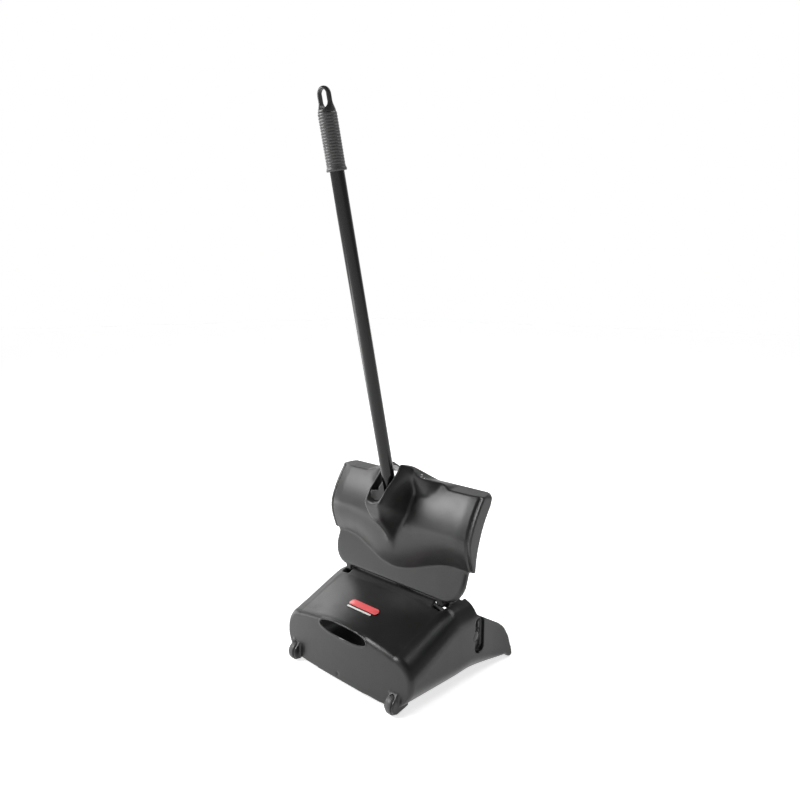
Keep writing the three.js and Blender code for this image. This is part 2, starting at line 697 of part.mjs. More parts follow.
function hingePin(side) {
  const span = (near, far) => (side > 0 ? [near, far] : [-far, -near]);
  const web = LUG.outer + GAP + 4.5;
  const shank = rodX(COVER_HINGE.radius, ...span(LUG.inner - 3, web + 2), 0, 0);
  const head = rodX(5, ...span(web + GAP, web + 2.8), 0, 0);
  const rivet = rodX(5, ...span(LUG.inner - 3, LUG.inner - GAP), 0, 0);
  return join([shank, head, rivet]);
}

// ------------------------------------------------------------------ assembly

const SIDES = [['left', 1], ['right', -1]];
const model = new THREE.Group();

const pan = new THREE.Group();
pan.add(piece('pan_body', panBody(), CHARCOAL));
pan.add(piece('badge_plate', roofPlate(roundedRect(0, 217, 66, 12, 5.5)), BADGE_RED));
pan.add(piece('badge_strip', roofPlate(roundedRect(2, 227.5, 56, 2.6, 1.2)), BADGE_PALE));
for (const [label, side] of SIDES) {
  const rolling = piece(`wheel_${label}`, wheel(), WHEEL_GREY);
  rolling.position.set(side * WHEEL.x, WHEEL.y, WHEEL.radius);
  const axle = piece(`wheel_axle_${label}`, rodX(AXLE_RADIUS, -AXLE_HALF, AXLE_HALF, 0, 0), STEEL);
  axle.position.copy(rolling.position);
  const pin = piece(`cover_hinge_pin_${label}`, hingePin(side), STEEL);
  pin.position.set(0, COVER_HINGE.y, COVER_HINGE.z);
  pan.add(rolling, axle, pin);
}

const cover = new THREE.Group();
cover.add(piece('cover_shell', coverShell(), COVER_BLACK));
cover.position.set(0, COVER_FOOT.y, COVER_FOOT.z);
cover.rotation.x = COVER_LEAN;

const handle = new THREE.Group();
handle.add(piece('yoke', yoke(), CHARCOAL));
for (const [label, side] of SIDES) {
  handle.add(piece(`yoke_pin_${label}`, yokePin(side), TUBE_BLACK));
  handle.add(piece(`yoke_clip_${label}`, yokeClip(side), STEEL));
}
handle.add(piece('handle_tube', handleTube(), TUBE_BLACK));
handle.add(piece('handle_bolt', handleBolt(), STEEL));
handle.add(piece('handle_nut', handleNut(), STEEL));
handle.add(piece('grip_sleeve', grip(), GRIP_GREY));
handle.add(piece('hang_cap', hangCap(), CAP_BLACK));
handle.position.set(0, PIVOT.y, PIVOT.z);
handle.rotation.x = -HANDLE_LEAN;

model.add(pan, cover, handle);
model.updateMatrixWorld(true);
const bounds = new THREE.Box3().setFromObject(model, true);
const centre = bounds.getCenter(new THREE.Vector3());
model.position.set(-centre.x, -centre.y, -bounds.min.z);

export default model;
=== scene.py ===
"""Looks of a long-handled lobby dust pan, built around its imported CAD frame.

Lengths in the modelling code are millimetres in the frame of the CAD part's own drawing:
Y is 0 at the front lip and grows to the rear, Z is 0 at the floor. PLACE moves them to the row frame.
"""

import math

import bmesh
import bpy
import numpy as np
from mathutils import Matrix, Vector
from mathutils.bvhtree import BVHTree


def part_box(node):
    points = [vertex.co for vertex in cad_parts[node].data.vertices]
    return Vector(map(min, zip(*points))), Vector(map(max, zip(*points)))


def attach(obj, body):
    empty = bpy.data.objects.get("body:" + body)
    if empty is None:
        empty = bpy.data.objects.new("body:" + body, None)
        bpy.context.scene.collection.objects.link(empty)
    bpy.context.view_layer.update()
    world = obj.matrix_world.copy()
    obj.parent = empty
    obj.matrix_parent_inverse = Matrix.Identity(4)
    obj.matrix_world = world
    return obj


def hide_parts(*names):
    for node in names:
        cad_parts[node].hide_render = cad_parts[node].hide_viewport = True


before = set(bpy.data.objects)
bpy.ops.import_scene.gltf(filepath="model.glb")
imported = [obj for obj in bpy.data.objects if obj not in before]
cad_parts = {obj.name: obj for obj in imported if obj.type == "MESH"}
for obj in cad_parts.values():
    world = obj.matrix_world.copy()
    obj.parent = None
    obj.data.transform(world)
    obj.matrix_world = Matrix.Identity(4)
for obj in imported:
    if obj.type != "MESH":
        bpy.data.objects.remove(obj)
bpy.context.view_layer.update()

# ------------------------------------------------------------------ driving sizes

MM = 0.001
WALL = 3.0
GAP = 0.3
PAN_LENGTH, PAN_HALF, LIP_FLARE = 273.0, 150.0, 5.0
ROOF_REAR, ROOF_FRONT, ROOF_BREAK_Y = 88.0, 133.0, 147.0
HOOD_FRONT_Y = 97.0
REAR_ROUND, REAR_BOW, REAR_LEAN = 8.0, 5.0, 5.0
ROOF_LIP = 138.8
RUNNER = 7.0
LIP_THICKNESS = 1.9
MOUTH_HALF, MOUTH_REAR_Y, LUG_NOTCH_REAR_Y = 121.0, 143.0, 158.0
GRIP_SLOT_HALF, GRIP_SLOT_HEIGHT, GRIP_SLOT_Z = 55.0, 20.0, 90.5
WHEEL_X, WHEEL_Y, WHEEL_RADIUS, WHEEL_WIDTH, AXLE_RADIUS = 118.0, 268.0, 15.5, 10.0, 2.5
CHEEK_RADIUS, AXLE_HALF = 13.0, 8.4
COVER_FOOT = (146.8, 134.3)
COVER_LEAN = math.radians(18.4)
HINGE_Y, HINGE_Z, HINGE_RADIUS = 124.0, 140.35, 3.0
COVER_HALF, FLANGE_HALF, FLANGE_FACE, SKIRT_FOOT = 165.0, 152.0, 9.0, 66.0
COVER_TOP, NOSE_TOP, BULGE = 197.5, 214.0, 40.0
COVER_EDGE, FLANGE_CORNER, EDGE_ROUND = 6.0, 38.0, 4.5
SLOT_HALF, SLOT_MIDDLE, SLOT_LINING = 15.5, 157.5, 18.0
LUG_INNER, LUG_OUTER = 103.0, 115.5
PIVOT_Y, PIVOT_Z, PIVOT_RADIUS = 100.0, 74.0, 4.0
HANDLE_LEAN = math.radians(13)
YOKE_HALF = 137.4
TUBE_RADIUS, TUBE_BORE, TUBE_FOOT, TUBE_TOP = 11.1, 9.9, 46.5, 842.0
SOCKET_RADIUS, SOCKET_TOP, BOLT_AT = 16.0, 100.0, 86.0
GRIP_FOOT, GRIP_TOP, GRIP_RADIUS, CAP_TOP = 763.0, 843.5, 14.2, 879.0
CAP_TURN = math.radians(10)

# The lip is the foremost point of the pan, so it ties the drawing to the row frame.
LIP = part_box("pan_body")[0].y
PLACE = Matrix.Translation((0, LIP, 0)) @ Matrix.Scale(MM, 4)


def clamp01(v):
    return np.clip(v, 0.0, 1.0)


def smoothstep(low, high, v):
    t = clamp01((np.asarray(v, float) - low) / (high - low))
    return t * t * (3 - 2 * t)


def mix(a, b, t):
    return a + (b - a) * t


# --------------------------------------------------------------- mesh and solids


def new_object(name, verts, faces):
    """A mesh object from points and faces, with its faces turned outwards."""
    mesh = bpy.data.meshes.new(name)
    mesh.from_pydata([tuple(v) for v in verts], [], [tuple(f) for f in faces])
    work = bmesh.new()
    work.from_mesh(mesh)
    bmesh.ops.remove_doubles(work, verts=work.verts, dist=1e-4)
    bmesh.ops.recalc_face_normals(work, faces=work.faces)
    work.to_mesh(mesh)
    work.free()
    obj = bpy.data.objects.new(name, mesh)
    bpy.context.scene.collection.objects.link(obj)
    return obj


def drop(*objects):
    for obj in objects:
        mesh = obj.data
        bpy.data.objects.remove(obj)
        if mesh.users == 0:
            bpy.data.meshes.remove(mesh)


def settle(obj):
    """Applies the modifiers of an object to its mesh."""
    bpy.context.view_layer.update()
    graph = bpy.context.evaluated_depsgraph_get()
    mesh = bpy.data.meshes.new_from_object(obj.evaluated_get(graph))
    old = obj.data
    obj.modifiers.clear()
    obj.data = mesh
    if old.users == 0:
        bpy.data.meshes.remove(old)
    return obj


def merge(name, objects):
    """One object holding the meshes of several, which may overlap."""
    work = bmesh.new()
    for obj in objects:
        work.from_mesh(obj.data)
    mesh = bpy.data.meshes.new(name)
    work.to_mesh(mesh)
    work.free()
    drop(*objects)
    result = bpy.data.objects.new(name, mesh)
    bpy.context.scene.collection.objects.link(result)
    return result


def boolean(obj, operation, tools):
    """Cuts or crops a solid by others, which are used up."""
    for tool in tools:
        step = obj.modifiers.new(operation, "BOOLEAN")
        step.operation = operation
        step.solver = "EXACT"
        step.object = tool
    settle(obj)
    drop(*tools)
    return obj


def cut(obj, *tools):
    return boolean(obj, "DIFFERENCE", tools)


def crop(obj, *tools):
    return boolean(obj, "INTERSECT", tools)


def mould(obj, voxel, rounds):
    """Fuses overlapping solids into one skin and rounds its edges, as a mould does."""
    fuse = obj.modifiers.new("fuse", "REMESH")
    fuse.mode = "VOXEL"
    fuse.voxel_size = voxel
    fuse.use_smooth_shade = True
    if rounds:
        soften = obj.modifiers.new("soften", "SMOOTH")
        soften.factor = 0.5
        soften.iterations = rounds
    return settle(obj)


def loft(name, rings, domed=None):
    """Closed skin through rings of equal length. domed(ring, t) gives rings that close the last end."""
    rings = [np.asarray(r, float) for r in rings]
    if domed:
        rings += [domed(t) for t in (0.86, 0.7, 0.52, 0.34, 0.16)]
    count = len(rings[0])
    verts = np.concatenate(rings + [rings[0].mean(0)[None], rings[-1].mean(0)[None]])
    faces = []
    for r in range(len(rings) - 1):
        for i in range(count):
            a, b = r * count + i, r * count + (i + 1) % count
            faces.append((a, b, b + count, a + count))
    first, last = len(verts) - 2, len(verts) - 1
    base = (len(rings) - 1) * count
    for i in range(count):
        j = (i + 1) % count
        faces.append((first, j, i))
        faces.append((last, base + i, base + j))
    return new_object(name, verts, faces)


def prism(name, outline, axis, low, high):
    """Outline extruded along an axis: X takes (y, z) points, Y takes (x, z), Z takes (x, y)."""
    count = len(outline)
    verts = []
    for level in (low, high):
        for u, v in outline:
            verts.append({"X": (level, u, v), "Y": (u, level, v), "Z": (u, v, level)}[axis])
    faces = [tuple(range(count)), tuple(range(2 * count - 1, count - 1, -1))]
    for i in range(count):
        j = (i + 1) % count
        faces.append((i, j, count + j, count + i))
    return new_object(name, verts, faces)


def arc(u, v, radius, start, end, steps, radius_v=None):
    """Points on an arc, in degrees; radius_v makes it an ellipse."""
    angles = np.radians(np.linspace(start, end, steps + 1))
    tall = radius if radius_v is None else radius_v
    return [(u + radius * math.cos(a), v + tall * math.sin(a)) for a in angles]


def rounded(u, v, width, height, radius, steps=8):
    """Rectangle with round corners, centred on (u, v)."""
    right, left = u + width / 2 - radius, u - width / 2 + radius
    top, bottom = v + height / 2 - radius, v - height / 2 + radius
    return (
        arc(right, bottom, radius, -90, 0, steps)
        + arc(right, top, radius, 0, 90, steps)
        + arc(left, top, radius, 90, 180, steps)
        + arc(left, bottom, radius, 180, 270, steps)
    )


def turned(name, profile, axis="Z", segments=64):
    """Profile of (radius, height) points that closes on itself or on the axis, turned round an axis."""
    closed = profile[0] == profile[-1]
    points = profile[:-1] if closed else profile
    verts, rows = [], []
    for r, h in points:
        if r < 1e-6:
            rows.append([len(verts)])
            verts.append((0, 0, h))
            continue
        rows.append(list(range(len(verts), len(verts) + segments)))
        for k in range(segments):
            a = 2 * math.pi * k / segments
            verts.append((r * math.cos(a), r * math.sin(a), h))
    faces = []
    pairs = list(zip(rows, rows[1:] + rows[:1])) if closed else list(zip(rows, rows[1:]))
    for low, high in pairs:
        for k in range(segments):
            n = (k + 1) % segments
            ring = [low[k % len(low)], low[n % len(low)], high[n % len(high)], high[k % len(high)]]
            face = list(dict.fromkeys(ring))
            if len(face) > 2:
                faces.append(face)
    if axis == "X":
        verts = [(z, x, y) for x, y, z in verts]
    return new_object(name, verts, faces)


def bar(name, radius, low, high, axis="X", edge=0.6, segments=48):
    """Round bar with eased ends."""
    profile = [(0, low), (radius - edge, low), (radius - 0.3 * edge, low + 0.3 * edge), (radius, low + edge)]
    profile += [(r, low + high - h) for r, h in reversed(profile)]
    return turned(name, profile, axis, segments)


def ball(name, radius):
    steps = np.linspace(-math.pi / 2, math.pi / 2, 17)
    profile = [(radius * math.cos(a), radius * math.sin(a)) for a in steps]
    profile[0], profile[-1] = (0, -radius), (0, radius)
    return turned(name, profile, "Z", 32)


def bead(name, route, radius, sides=12):
    """Round bead along a closed route."""
    route = np.asarray(route, float)
    tangent = np.roll(route, -1, 0) - np.roll(route, 1, 0)
    tangent /= np.linalg.norm(tangent, axis=1)[:, None]
    verts, faces = [], []
    for point, along in zip(route, tangent):
        across = np.cross(along, (0, 1, 0))
        across /= np.linalg.norm(across)
        up = np.cross(across, along)
        for k in range(sides):
            a = 2 * math.pi * k / sides
            verts.append(point + radius * (math.cos(a) * across + math.sin(a) * up))
    for i in range(len(route)):
        j = (i + 1) % len(route)
        for k in range(sides):
            n = (k + 1) % sides
            faces.append((i * sides + k, i * sides + n, j * sides + n, j * sides + k))
    return new_object(name, verts, faces)


def shifted(obj, x=0.0, y=0.0, z=0.0):
    obj.data.transform(Matrix.Translation((x, y, z)))
    return obj


def mirror_x(points):
    return [(-u, v) for u, v in reversed(points)]


def ends(side, near, far):
    """The stretch from near to far on the left (side 1) or right (side -1)."""
    return (near, far) if side > 0 else (-far, -near)


def shade_smooth(obj, degrees=35):
    mesh = obj.data
    mesh.polygons.foreach_set("use_smooth", [True] * len(mesh.polygons))
    mesh.set_sharp_from_angle(angle=math.radians(degrees))
    return obj


HANDLE_PLACE = Matrix.Translation((0, PIVOT_Y, PIVOT_Z)) @ Matrix.Rotation(-HANDLE_LEAN, 4, "X")
COVER_PLACE = Matrix.Translation((0, *COVER_FOOT)) @ Matrix.Rotation(COVER_LEAN, 4, "X")


def finish_piece(obj, name, body, material, replaced, local=None, degrees=35):
    """Moves a piece from the drawing to the row frame and hands it to the frame."""
    obj.name = name
    obj.data.name = name
    if local is not None:
        obj.data.transform(local)
    obj.data.transform(PLACE)
    shade_smooth(obj, degrees)
    obj.data.materials.clear()
    obj.data.materials.append(material)
    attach(obj, body)
    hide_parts(*replaced)
    return obj


# ----------------------------------------------------------------------- pan body


def forwardness(y):
    return float(clamp01((PAN_LENGTH - y) / (PAN_LENGTH - ROOF_BREAK_Y)))


def floor_level(y):
    return RUNNER * float(smoothstep(2, 16, y))


def pan_ring(y, inset, floor_inset, scale=1.0):
    """Cross-section of the pan at one y; scale shrinks it towards its middle."""
    f = forwardness(y)
    lipward = float(clamp01(1 - y / 60))
    half = PAN_HALF + LIP_FLARE * lipward * lipward - inset
    low = floor_level(y) + floor_inset
    roof = mix(ROOF_REAR, ROOF_FRONT, f) - inset
    crown = mix(15, 3, f)
    upper = mix(38, 36, f) - inset
    spread = float(smoothstep(0, 120, y))
    lower = mix(6, mix(50, 42, f), spread) - inset
    belly = mix(6, mix(44, 34, f), spread) - inset
    flat = half - upper
    points = arc(half - lower, low + belly, lower, -90, 0, 16, belly)
    points += arc(flat, roof - upper, upper, 0, 90, 16)
    for x in np.linspace(flat, -flat, 34)[1:-1]:
        points.append((x, roof + crown * (1 - (x / flat) ** 2)))
    points += arc(-flat, roof - upper, upper, 90, 180, 16)
    points += arc(lower - half, low + belly, lower, 180, 270, 16, belly)
    for x in np.linspace(lower - half, half - lower, 26)[1:-1]:
        points.append((x, low))
    points = np.array(points)
    across = np.abs(points[:, 0])
    lift = np.where(points[:, 1] > 100, ROOF_LIP - ROOF_FRONT - crown * (1 - (across / flat) ** 2), 0)
    points[:, 1] += lift * (1 - smoothstep(148, 164, y)) * (1 - smoothstep(98, 117, across))
    centre = np.array((0, 48.0))
    points = centre + (points - centre) * scale
    rearness = float(smoothstep(150, PAN_LENGTH, y))
    bow = REAR_BOW * (points[:, 0] / 130) ** 2 + REAR_LEAN * points[:, 1] / 100
    return np.column_stack([points[:, 0], y - bow * rearness, points[:, 1]])


def pan_skin(name, inset, front):
    def floor_inset(y):
        return inset * mix(LIP_THICKNESS / WALL, 1, float(smoothstep(0, 30, y)))

    rear = PAN_LENGTH - inset
    rounding = REAR_ROUND - inset
    stations = [front] if front < 0 else []
    stations += list(np.arange(0, 18, 1.5)) + list(np.arange(20, 60, 5.0))
    stations += list(np.arange(60, 242, 6.0)) + list(np.arange(243, 260, 1.5))
    rings = [pan_ring(y, inset, floor_inset(y)) for y in stations]
    for angle in np.linspace(0, math.pi / 2, 9):
        y = rear - rounding + rounding * math.sin(angle)
        shrink = rounding * (1 - math.cos(angle))
        rings.append(pan_ring(y, inset + shrink, floor_inset(y) + 0.08 * shrink))
    shrink = rounding
    return loft(name, rings, lambda t: pan_ring(rear, inset + shrink, floor_inset(rear) + 0.08 * shrink, t))


def wing_outline():
    """Side view of all that the wings and the hood's front edge leave open."""
    top = [(HOOD_FRONT_Y, 220), (HOOD_FRONT_Y, 115)]
    top += [(HOOD_FRONT_Y - 1.5, 111), (HOOD_FRONT_Y - 4, 109)]
    curve = np.array([(39, 77), (27, 68), (17, 56), (9, 40), (3, 22), (-1, 6)], float)
    t = np.linspace(0, len(curve) - 1, 26)
    index = np.arange(len(curve))
    smooth = np.column_stack([np.interp(t, index, curve[:, 0]), np.interp(t, index, curve[:, 1])])
    for _ in range(3):
        smooth[1:-1] = 0.25 * smooth[:-2] + 0.5 * smooth[1:-1] + 0.25 * smooth[2:]
    return top + [tuple(p) for p in smooth] + [(-40, 6), (-40, 220)]


def mouth_cutters():
    depth = MOUTH_REAR_Y + 60
    opening = prism("mouth", rounded(0, MOUTH_REAR_Y - depth / 2, 2 * MOUTH_HALF, depth, 10), "Z", 104, 220)
    tools = [opening]
    for side in (1, -1):
        middle = side * (LUG_INNER + LUG_OUTER) / 2
        width = LUG_OUTER - LUG_INNER + 8
        tools.append(prism("notch", rounded(middle, LUG_NOTCH_REAR_Y - 20, width, 40, 5), "Z", 104, 220))
    return tools


def slot_outline(grow):
    """The hand slot: an oval with full ends."""
    outline = []
    for a in np.linspace(0, 2 * math.pi, 72, endpoint=False):
        u, v = math.cos(a), math.sin(a)
        x = (GRIP_SLOT_HALF + grow) * math.copysign(abs(u) ** 0.84, u)
        z = GRIP_SLOT_Z + (GRIP_SLOT_HEIGHT / 2 + grow) * math.copysign(abs(v) ** 0.84, v)
        outline.append((x, z))
    return outline


def slot_rim():
    """Raised bead round the hand slot, laid on the rear panel."""
    skin = pan_skin("skin", 0, 0)
    tree = BVHTree.FromPolygons([v.co for v in skin.data.vertices], [f.vertices for f in skin.data.polygons])
    drop(skin)
    route = []
    for x, z in slot_outline(1.2):
        hit = tree.ray_cast(Vector((x, 400, z)), Vector((0, -1, 0)))[0]
        route.append((x, hit.y - 0.9, z))
    return bead("rim", route, 1.9)


def pan_body():
    outer = pan_skin("outer", 0, 0)
    keep = [pan_skin("crop", 0, 0) for _ in range(2)]
    blocks, linings, pockets = [], [], []
    bores, ears = [], []
    cheek_inner = WHEEL_WIDTH / 2 + 0.8
    cheek_outer = cheek_inner + 3.4
    for side in (1, -1):
        at = side * WHEEL_X
        seat = rounded(PIVOT_Y - 8, PIVOT_Z - 1, 40, 76, 10)
        blocks.append(prism("seat", seat, "X", *ends(side, YOKE_HALF + GAP, 149)))
        lining = rounded(WHEEL_Y - 8, 20, 28 + 2 * WALL, 40, 8)
        linings.append(prism("lining", lining, "X", at - cheek_outer, at + cheek_outer))
        inner = LUG_OUTER + GAP
        ear = [(HINGE_Y - 18, HINGE_Z - 16), (HINGE_Y + 18, HINGE_Z - 16), (HINGE_Y + 18, HINGE_Z - 10)]
        ear += arc(HINGE_Y, HINGE_Z, 8.5, 22, 158, 16) + [(HINGE_Y - 18, HINGE_Z - 10)]
        ears.append(prism("ear", ear, "X", *ends(side, inner, inner + 4.5)))
        cheek = [(WHEEL_Y - 24, RUNNER), (WHEEL_Y - 24, 30), (WHEEL_Y - 4, 40)]
        cheek += arc(WHEEL_Y, WHEEL_RADIUS, CHEEK_RADIUS, 60, -90, 24)
        ears.append(prism("cheek", cheek, "X", at - cheek_outer, at + cheek_outer))
        well = [(WHEEL_Y - WHEEL_RADIUS - 3, -5), (WHEEL_Y - WHEEL_RADIUS - 3, WHEEL_RADIUS)]
        well += arc(WHEEL_Y, WHEEL_RADIUS, WHEEL_RADIUS + 3, 180, 0, 24)[1:]
        well += [(WHEEL_Y + WHEEL_RADIUS + 3, -5)]
        space = prism("well", well, "X", at - cheek_inner, at + cheek_inner)
        mouth = rounded(at, 0, 2 * cheek_inner, 4 * WHEEL_RADIUS + 4, cheek_inner - 1)
        bores.append(crop(space, prism("arch", mouth, "Y", 200, 310)))
        bores.append(bar("bore", AXLE_RADIUS + GAP, at - AXLE_HALF - GAP, at + AXLE_HALF + GAP))
        shifted(bores[-1], 0, WHEEL_Y, WHEEL_RADIUS)
        pocket = rounded(PIVOT_Y - 8, PIVOT_Z, 24, 62, 11)
        pockets.append(prism("pocket", pocket, "X", *ends(side, 142.5, 170)))
        bores.append(shifted(bar("bore", PIVOT_RADIUS + GAP, *ends(side, 120, 160)), 0, PIVOT_Y, PIVOT_Z))
        bores.append(shifted(bar("head", 10, *ends(side, 142.5, 160)), 0, PIVOT_Y, PIVOT_Z))
        hinge = bar("hinge", HINGE_RADIUS + GAP, *ends(side, inner - 5, inner + 9))
        bores.append(shifted(hinge, 0, HINGE_Y, HINGE_Z))
        ears.append(prism("pill", rounded(PIVOT_Y - 8, PIVOT_Z + 19, 5, 14, 2.4), "X", *ends(side, 140, 147)))
        guard = arc(PIVOT_Y, PIVOT_Z, 13.5, 125, 235, 20) + arc(PIVOT_Y, PIVOT_Z, 10.6, 235, 125, 20)
        ears.append(prism("guard", guard, "X", *ends(side, 140, 146.5)))
    shell = cut(outer, pan_skin("inner", WALL, -30))
    inside = crop(merge("inside", blocks), keep[0])
    housing = crop(merge("housing", linings), keep[1])
    shell = cut(shell, prism("wings", wing_outline(), "X", -220, 220), *mouth_cutters())
    inside = cut(inside, prism("wings", wing_outline(), "X", -220, 220))
    for pocket in pockets:
        spare = pocket.copy()
        spare.data = pocket.data.copy()
        bpy.context.scene.collection.objects.link(spare)
        shell = cut(shell, pocket)
        inside = cut(inside, spare)
    shell = cut(shell, prism("slot", slot_outline(0), "Y", 240, 290))
    shell = cut(shell, shifted(ball("dimple", 7), 7, 277.5, 17))
    body = mould(merge("pan", [shell, inside, housing, slot_rim(), *ears]), 1.5, 2)
    return cut(body, *bores)


# -------------------------------------------------------------------------- cover

RIDGE_S = (60, 80, 88, 97, 112, 136, 150, 167, 192, 216)
RIDGE_N = (23, 34, 44, 58, 84, 103, 102, 93, 77, 70)


def ridge_depth(s):
    """Height of the nose's ridge: the corners of a straight-line run are eased by averaging."""
    total = 0
    for offset in (-6, -3, 0, 3, 6):
        total = total + np.interp(np.asarray(s, float) + offset, RIDGE_S, RIDGE_N)
    return total / 5


def cover_top_edge(x):
    return mix(COVER_TOP, NOSE_TOP, 1 - smoothstep(28, 52, np.abs(x)))


def cover_depth(x, s, inner=False):
    """Depth of the cover over its plane: flange, saddle and nose, less the dip round the slot.

    The outer face also has the rounded flange edge and a groove at each end. The inner face runs clear
    of the groove, and drops beside the slot to leave it a lining.
    """
    across = np.abs(x)
    smile = 34 + 16 * (1 - np.cos(math.pi * np.minimum(across, 130) / 130))
    rise = clamp01((s - smile) / (120 - smile))
    bulge = BULGE - 3 * smoothstep(135, 165, across)
    depth = FLANGE_FACE + (bulge - FLANGE_FACE) * np.sin(rise * math.pi / 2)
    depth = np.where(s > 120, bulge - 11 * ((s - 120) / 63) ** 2, depth)
    depth = depth + 34 * smoothstep(160, 204, s) * (1 - smoothstep(38, 80, across))
    ridge_half = mix(1, 14, smoothstep(80, 136, s))
    foot_half = mix(12, 30, smoothstep(80, 136, s)) + 4 * smoothstep(150, 195, s)
    sideways = np.maximum(0, across - ridge_half) / (foot_half - ridge_half)
    ridge = mix(depth, np.maximum(depth, ridge_depth(s)), smoothstep(56, 84, s))
    nose = ridge - (ridge - depth + 2) * sideways ** 2.2
    fillet = 7 * smoothstep(60, 100, s)
    depth = 0.5 * (depth + nose + np.sqrt((depth - nose) ** 2 + fillet**2))
    below = clamp01((SLOT_MIDDLE - s) / SLOT_HALF)
    from_slot = np.hypot(across, np.minimum(0, s - SLOT_MIDDLE)) - SLOT_HALF
    dip = mix(3.0, 9.0, below) * (1 - clamp01(from_slot / mix(5, 12, below))) ** 2
    depth = depth - dip * smoothstep(110, 126, s)
    if inner:
        depth = depth - 5.5 * smoothstep(146, 153, across)
        depth = depth - (SLOT_LINING - WALL) * (1 - smoothstep(2.4, 4.2, from_slot)) * smoothstep(156, 160, s)
    else:
        corner = np.hypot(np.maximum(across + FLANGE_CORNER - FLANGE_HALF, 0),
                          np.maximum(COVER_EDGE + FLANGE_CORNER - s, 0))
        edge = np.where(s < SKIRT_FOOT - 3, FLANGE_CORNER - corner, 99)
        depth = depth - (EDGE_ROUND - np.sqrt(EDGE_ROUND**2 - np.clip(EDGE_ROUND - edge, 0, 4.4) ** 2))
        ending = smoothstep(66, 70, s) * (1 - smoothstep(183, 187, s))
        groove = smoothstep(155.6, 156.2, across) * (1 - smoothstep(158.2, 158.8, across))
        depth = depth - (5.0 * groove + 1.5 * smoothstep(158, 160, across)) * ending
    steepness = mix(2.3, 14, 1 - smoothstep(44, 98, across))
    return np.minimum(depth, np.maximum(0.5, (cover_top_edge(x) + 0.6 - s) * steepness))


def cover_block(name, base, thickness):
    columns, rows = 230, 150
    t = np.linspace(-1, 1, columns + 1)
    xs = (COVER_HALF + 4) * (0.7 * t + 0.3 * t**3)
    ss = np.linspace(2, NOSE_TOP + 6, rows + 1)
    x, s = np.meshgrid(xs, ss)
    step = 0.5
    inner = thickness > 0
    across = (cover_depth(x + step, s, inner) - cover_depth(x - step, s, inner)) / (2 * step)
    along = (cover_depth(x, s + step, inner) - cover_depth(x, s - step, inner)) / (2 * step)
    wall = thickness * np.minimum(np.sqrt(1 + across**2 + along**2), 7)
    depth = np.maximum(cover_depth(x, s, inner) - wall, base + 0.2)
    lower = np.stack([x, np.full_like(x, base), s], -1).reshape(-1, 3)
    upper = np.stack([x, depth, s], -1).reshape(-1, 3)
    row, layer = columns + 1, lower.shape[0]
    faces = []
    for j in range(rows):
        for i in range(columns):
            a = j * row + i
            faces.append((layer + a, layer + a + row, layer + a + row + 1, layer + a + 1))
    rim = list(range(columns))
    rim += [j * row + columns for j in range(rows)]
    rim += [rows * row + i for i in range(columns, 0, -1)]
    rim += [j * row for j in range(rows, 0, -1)]
    faces.append(tuple(rim))
    for k, a in enumerate(rim):
        b = rim[(k + 1) % len(rim)]
        faces.append((a, b, layer + b, layer + a))
    return new_object(name, np.concatenate([lower, upper]), faces)


def cover_outline(inset):
    half, flange = COVER_HALF - inset, FLANGE_HALF - inset
    foot, corner = COVER_EDGE + inset, FLANGE_CORNER
    right = [(flange - corner + corner * math.sin(a), foot + corner * (1 - math.cos(a)))
             for a in np.linspace(0, math.pi / 2, 20)]
    right += [(flange, SKIRT_FOOT + inset - 3), (flange + 2, SKIRT_FOOT + inset)]
    right += [(half - 2, SKIRT_FOOT + inset), (half, SKIRT_FOOT + inset + 2)]
    right += arc(half - 12, COVER_TOP - inset - 12, 12, 0, 90, 12)
    right += [(x, float(cover_top_edge(x)) - inset) for x in np.linspace(64, 8, 30)]
    return right + mirror_x(right)


def cover_frame(name, inset):
    frame_prism = prism(name, cover_outline(inset), "Y", -5, 140)
    roof = [(-20, COVER_TOP - 5 - inset), (62, NOSE_TOP - inset), (62, 260), (-20, 260)]
    return cut(frame_prism, prism("roof", roof, "X", -200, 200))


def end_cutter(side):
    edge = [(9.6 - 0.0028 * (s - 118) ** 2, s) for s in np.linspace(SKIRT_FOOT - 1, 176, 24)]
    outline = [(-20, SKIRT_FOOT - 1)] + edge + [(-20, 176)]
    return prism("end", outline, "X", *ends(side, FLANGE_HALF + 2, 200))


def nose_slot():
    outline = [(SLOT_HALF, 260), (-SLOT_HALF, 260)] + arc(0, SLOT_MIDDLE, SLOT_HALF, 180, 360, 24)
    return prism("slot", outline, "Y", 28, 200)


def to_cover_plane(y, z):
    dy, dz = y - COVER_FOOT[0], z - COVER_FOOT[1]
    c, s = math.cos(COVER_LEAN), math.sin(COVER_LEAN)
    return dy * c + dz * s, dz * c - dy * s


def cover_lug(side):
    eye = arc(HINGE_Y, HINGE_Z, 7.5, 100, 280, 20)
    outline = eye + [(141, 130.5), (149, 130.5), (151.5, 134), (152, 145.5), (148, 150), (142, 149)]
    return prism("lug", [to_cover_plane(*p) for p in outline], "X", *ends(side, LUG_INNER, LUG_OUTER))


def cover_shell():
    outer = crop(cover_block("outer", 0, 0), cover_frame("frame", 0))
    hollow = crop(cover_block("hollow", -2, WALL), cover_frame("frame", WALL))
    shell = cut(outer, hollow, end_cutter(1), end_cutter(-1), nose_slot())
    body = mould(merge("cover", [shell, cover_lug(1), cover_lug(-1)]), 1.4, 2)
    hinge_y, hinge_z = to_cover_plane(HINGE_Y, HINGE_Z)
    bores = [shifted(bar("bore", HINGE_RADIUS + GAP, *ends(side, 98, 121)), 0, hinge_y, hinge_z)
             for side in (1, -1)]
    return cut(body, *bores)


# --------------------------------------------------------- yoke, handle and grip


